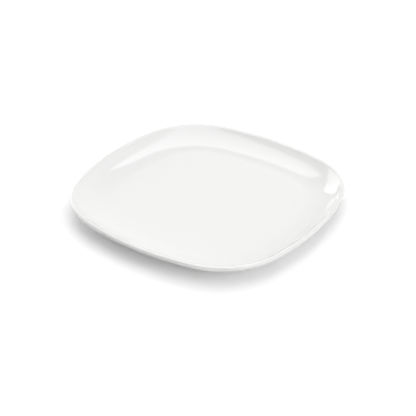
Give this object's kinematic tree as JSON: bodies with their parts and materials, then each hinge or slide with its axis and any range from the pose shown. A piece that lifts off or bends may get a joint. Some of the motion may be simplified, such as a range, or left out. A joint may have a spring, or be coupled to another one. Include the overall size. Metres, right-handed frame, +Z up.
{
  "type": "square dinner plate",
  "caption": "Soft-square coupe dinner plate with bowed sides, round corners, a flat well that sweeps up to a blunt rounded lip, white gloss glaze and a bare foot ring to stand on.",
  "frame": {"origin": "on the table, under the centre of the plate", "axes": "+Z up out of the well; the four sides face along +X, -X, +Y and -Y"},
  "size_m": [0.26, 0.26, 0.0225],
  "materials": {
    "bare_porcelain": "matte, ground smooth at the standing edge",
    "white_glaze": "gloss"
  },
  "bodies": {
    "root": {"porcelain_body": "bare_porcelain", "outer_glaze": "white_glaze", "base_glaze": "white_glaze"}
  },
  "joints": []
}
